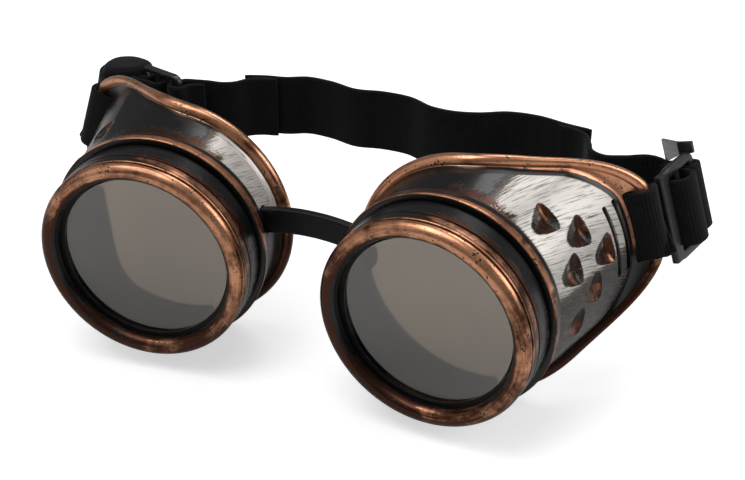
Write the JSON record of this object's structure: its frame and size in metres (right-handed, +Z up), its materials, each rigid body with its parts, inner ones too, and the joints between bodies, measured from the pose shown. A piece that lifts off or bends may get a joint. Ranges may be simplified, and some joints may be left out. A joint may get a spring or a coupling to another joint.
{
  "type": "goggles",
  "caption": "Steampunk goggles in antiqued copper and gunmetal: flared vented eyecups, screw-on bezels with smoke lenses, rubber bridge and black elastic strap with sliders.",
  "frame": {"origin": "on the ground under the middle of the goggles, where they stand on the lowest points of both rear rims", "axes": "+Z up; the lenses look along -Y; +X to the right as seen from the front"},
  "size_m": [0.1991, 0.0935, 0.0705],
  "materials": {
    "antiqued_shell": "black moulded shell, dry-brushed silver on the sides and copper on ridge, flange and rear rim",
    "copper_bezel": "antiqued copper on the bead, dark skirt with ragged copper brush marks",
    "smoke_lens": "clear smoke grey, polished",
    "black_rubber": "smooth, glossy",
    "slider_plastic": "dark grey, satin to glossy",
    "black_webbing": "matte woven elastic"
  },
  "bodies": {
    "left_cup": {"left_eyecup": "antiqued_shell", "nose_bridge": "black_rubber", "left_strap_loop": "black_webbing", "left_side_strap": "black_webbing", "back_band": "black_webbing"},
    "right_cup": {"right_eyecup": "antiqued_shell", "right_strap_loop": "black_webbing", "right_side_strap": "black_webbing"},
    "left_lens_pack": {"left_gasket": "black_rubber", "left_lens": "smoke_lens"},
    "right_lens_pack": {"right_gasket": "black_rubber", "right_lens": "smoke_lens"},
    "left_screw_bezel": {"left_bezel": "copper_bezel"},
    "right_screw_bezel": {"right_bezel": "copper_bezel"},
    "left_adjuster": {"left_slider": "slider_plastic"},
    "right_adjuster": {"right_slider": "slider_plastic"}
  },
  "joints": [
    {"name": "bridge_flex", "type": "hinge", "parent": "left_cup", "child": "right_cup", "pos_m": [0, -0.02017, 0.04406], "axis": [0, 0, 1], "range_deg": [-12, 12], "stiffness_Nm_per_rad": 0.02, "deforming": ["nose_bridge", "back_band"]},
    {"name": "left_lens_slide", "type": "slide", "parent": "left_cup", "child": "left_lens_pack", "axis": [0.1045, -0.9945, 0], "range_m": [0, 0.005]},
    {"name": "left_bezel_screw", "type": "hinge", "parent": "left_lens_pack", "child": "left_screw_bezel", "pos_m": [-0.04137, -0.03796, 0.03466], "axis": [0.1045, -0.9945, 0], "range_deg": [0, 720]},
    {"name": "left_slider_travel", "type": "slide", "parent": "left_cup", "child": "left_adjuster", "axis": [0.9613, -0.2756, 0], "range_m": [-0.004, 0.008], "deforming": ["left_strap_loop", "left_side_strap"]},
    {"name": "right_lens_slide", "type": "slide", "parent": "right_cup", "child": "right_lens_pack", "axis": [-0.1045, -0.9945, 0], "range_m": [0, 0.005]},
    {"name": "right_bezel_screw", "type": "hinge", "parent": "right_lens_pack", "child": "right_screw_bezel", "pos_m": [0.04137, -0.03796, 0.03466], "axis": [-0.1045, -0.9945, 0], "range_deg": [0, 720]},
    {"name": "right_slider_travel", "type": "slide", "parent": "right_cup", "child": "right_adjuster", "axis": [0.2672, 0.9622, 0.0537], "range_m": [-0.002, 0.008], "deforming": ["right_strap_loop", "right_side_strap"]}
  ],
  "couplings": [
    {"joint": "left_lens_slide", "follows": "left_bezel_screw", "m_per_rad": 0.0003978},
    {"joint": "right_lens_slide", "follows": "right_bezel_screw", "m_per_rad": 0.0003978}
  ]
}
